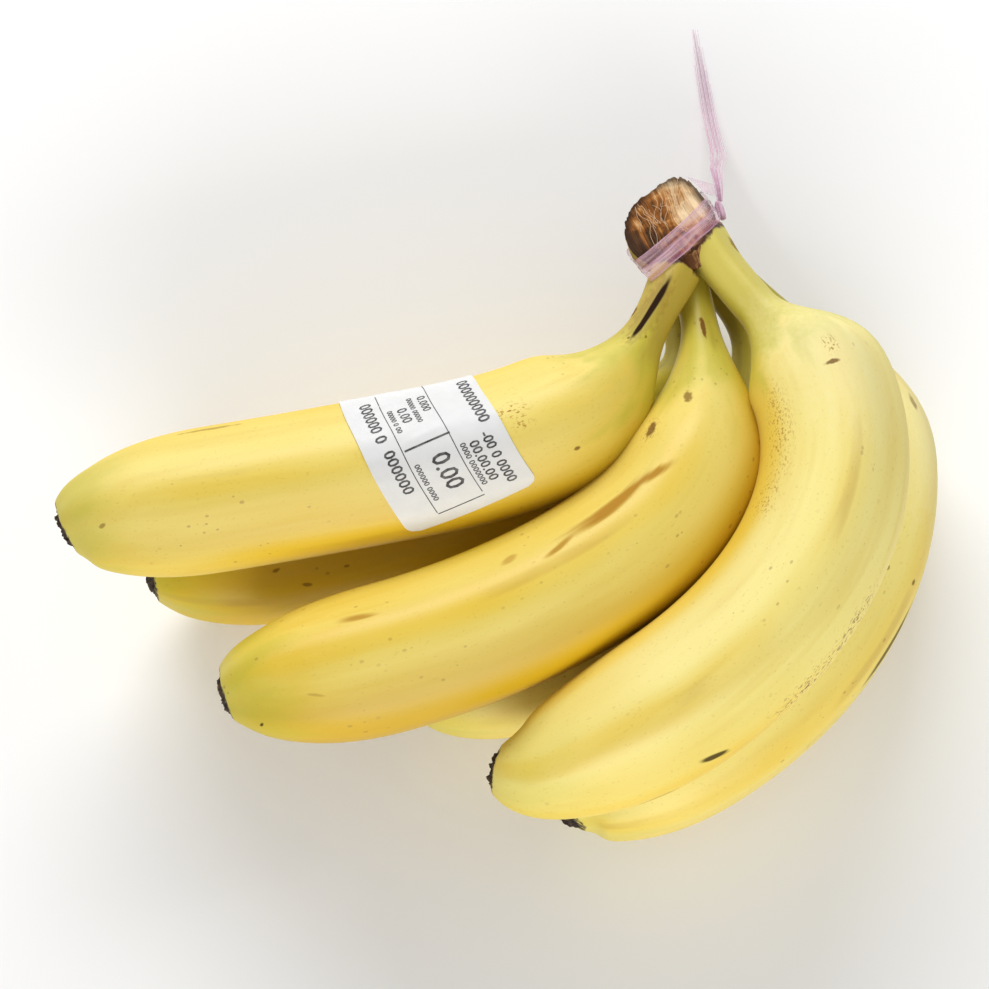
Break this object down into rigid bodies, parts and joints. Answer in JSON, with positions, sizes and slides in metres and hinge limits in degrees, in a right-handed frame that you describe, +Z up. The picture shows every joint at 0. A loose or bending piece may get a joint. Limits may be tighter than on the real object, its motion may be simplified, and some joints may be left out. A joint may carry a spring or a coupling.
{
  "type": "bunch of bananas",
  "caption": "Hand of ripe yellow bananas on their cut crown, with a paper price label on the front finger and a pink film tie round the crown, lying on its side.",
  "frame": {"origin": "on the surface that the bunch rests on, under the middle of its box, without the loose tail of the tie", "axes": "+Z up. The crown is towards +X +Y and the fruit's tips point towards -X and -Y. +X runs along the longest side of the bunch."},
  "size_m": [0.2524, 0.2653, 0.0843],
  "materials": {
    "peel": "ripe banana peel: waxy, half matt, green at the necks and tips, with brown freckles and scars",
    "cut_stalk": "dry fibrous cut stalk, beige to dark brown",
    "label_paper": "smooth white self-adhesive paper with thin grey print",
    "film": "thin translucent pink film, creased",
    "film_strands": "thin translucent pink strands of the same film"
  },
  "bodies": {
    "root": {"crown": "cut_stalk", "banana_1": "peel", "banana_2": "peel", "banana_3": "peel", "banana_4": "peel", "banana_5": "peel", "banana_6": "peel", "price_label": "label_paper", "tie_band": "film", "tie_knot": "film", "tie_tail": "film_strands"}
  },
  "joints": []
}
